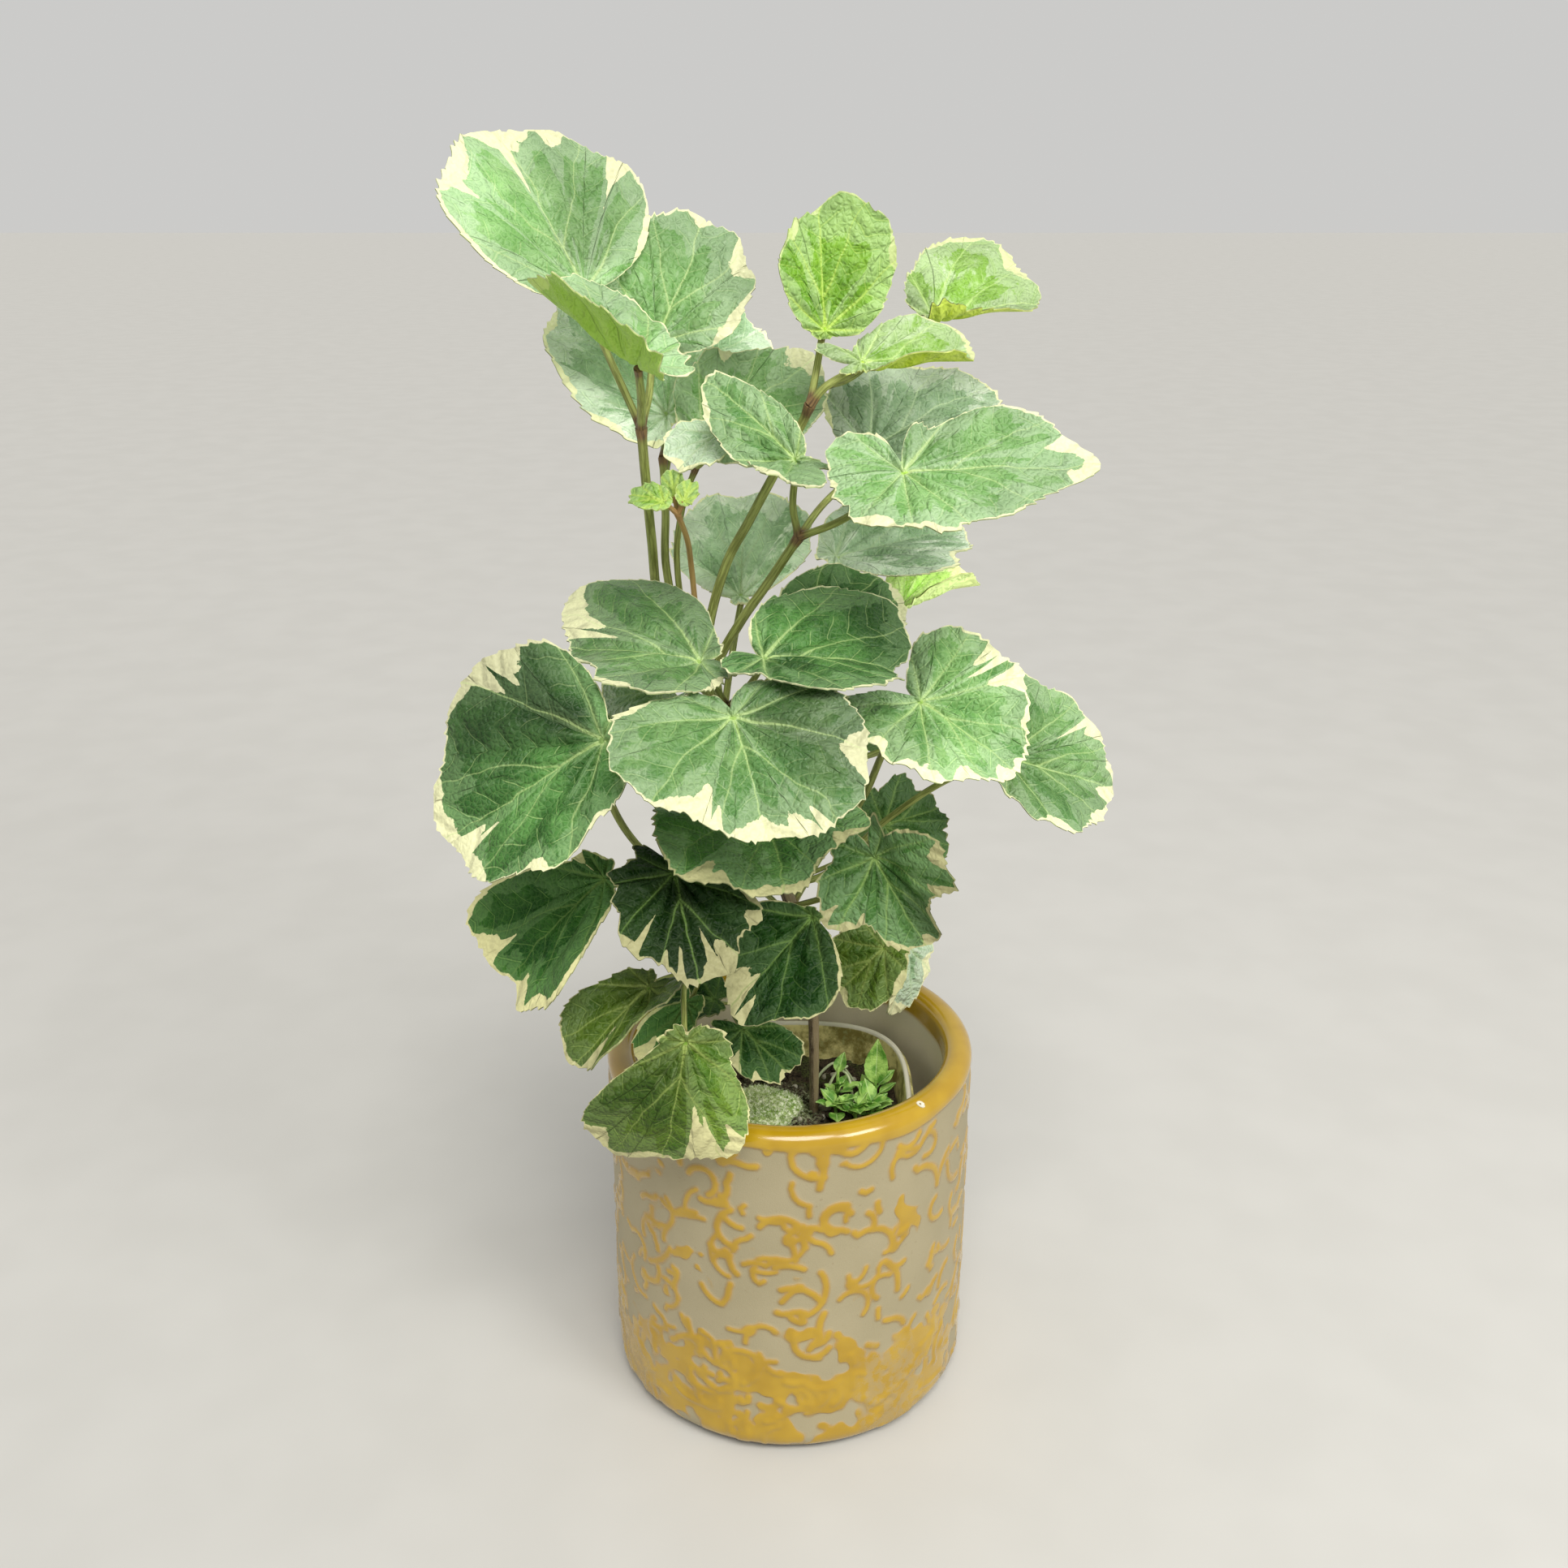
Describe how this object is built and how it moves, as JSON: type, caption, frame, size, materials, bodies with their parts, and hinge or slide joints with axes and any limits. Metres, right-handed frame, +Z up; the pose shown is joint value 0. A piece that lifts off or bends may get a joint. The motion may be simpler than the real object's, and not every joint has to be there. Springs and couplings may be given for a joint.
{
  "type": "potted plant",
  "caption": "Potted dinner plate aralia: round cream-edged leaves on branching stalks in a glazed cylinder pot, an ornamental indoor plant.",
  "frame": {"origin": "centre of the flat underside of the ceramic pot, on the surface that the pot stands on", "axes": "+Z up along the pot's axis, -Y towards the plant's front, +X to the right seen from the front"},
  "size_m": [0.2236, 0.1808, 0.4334],
  "materials": {
    "glazed_ceramic": "satin",
    "olive_plastic": "satin",
    "soil": "matte",
    "moss": "matte",
    "weed": "satin",
    "petiole": "satin",
    "leaf": "satin",
    "young_leaf": "satin"
  },
  "bodies": {
    "root": {"leaf_behind_1": "leaf", "leaf_behind_2": "leaf", "leaf_behind_3": "leaf", "leaf_behind_4": "leaf", "leaf_behind_5": "leaf", "leaf_centre_back_1": "leaf", "leaf_centre_back_2": "leaf", "leaf_inner_back_1": "leaf", "leaf_inner_right_1": "leaf", "leaf_inner_right_2": "young_leaf", "leaf_inner_right_3": "leaf", "leaf_left_1": "leaf", "leaf_left_2": "leaf", "leaf_left_back_1": "leaf", "leaf_low_front_1": "leaf", "leaf_low_front_2": "leaf", "leaf_low_front_3": "leaf", "leaf_low_left_1": "leaf", "leaf_low_left_2": "leaf", "leaf_low_left_3": "leaf", "leaf_low_right_1": "leaf", "leaf_low_right_2": "leaf", "leaf_low_right_3": "leaf", "leaf_low_right_4": "leaf", "leaf_middle_1": "leaf", "leaf_middle_2": "leaf", "leaf_middle_3": "leaf", "leaf_right_1": "leaf", "leaf_right_2": "leaf", "leaf_right_high_1": "leaf", "leaf_right_high_2": "leaf", "leaf_right_high_3": "leaf", "leaf_rim_left_1": "leaf", "leaf_rim_left_2": "leaf", "leaf_top_back_1": "leaf", "leaf_top_back_2": "leaf", "leaf_top_left_1": "leaf", "leaf_top_left_2": "leaf", "leaf_top_left_3": "leaf", "leaf_young_1": "young_leaf", "leaf_young_2": "young_leaf", "leaf_young_3": "young_leaf", "moss": "moss", "nursery_pot": "olive_plastic", "pot": "glazed_ceramic", "soil": "soil", "stem": "petiole", "weed_1": "weed", "weed_2": "weed", "weed_3": "weed", "weed_4": "weed", "weed_5": "weed"}
  },
  "joints": []
}
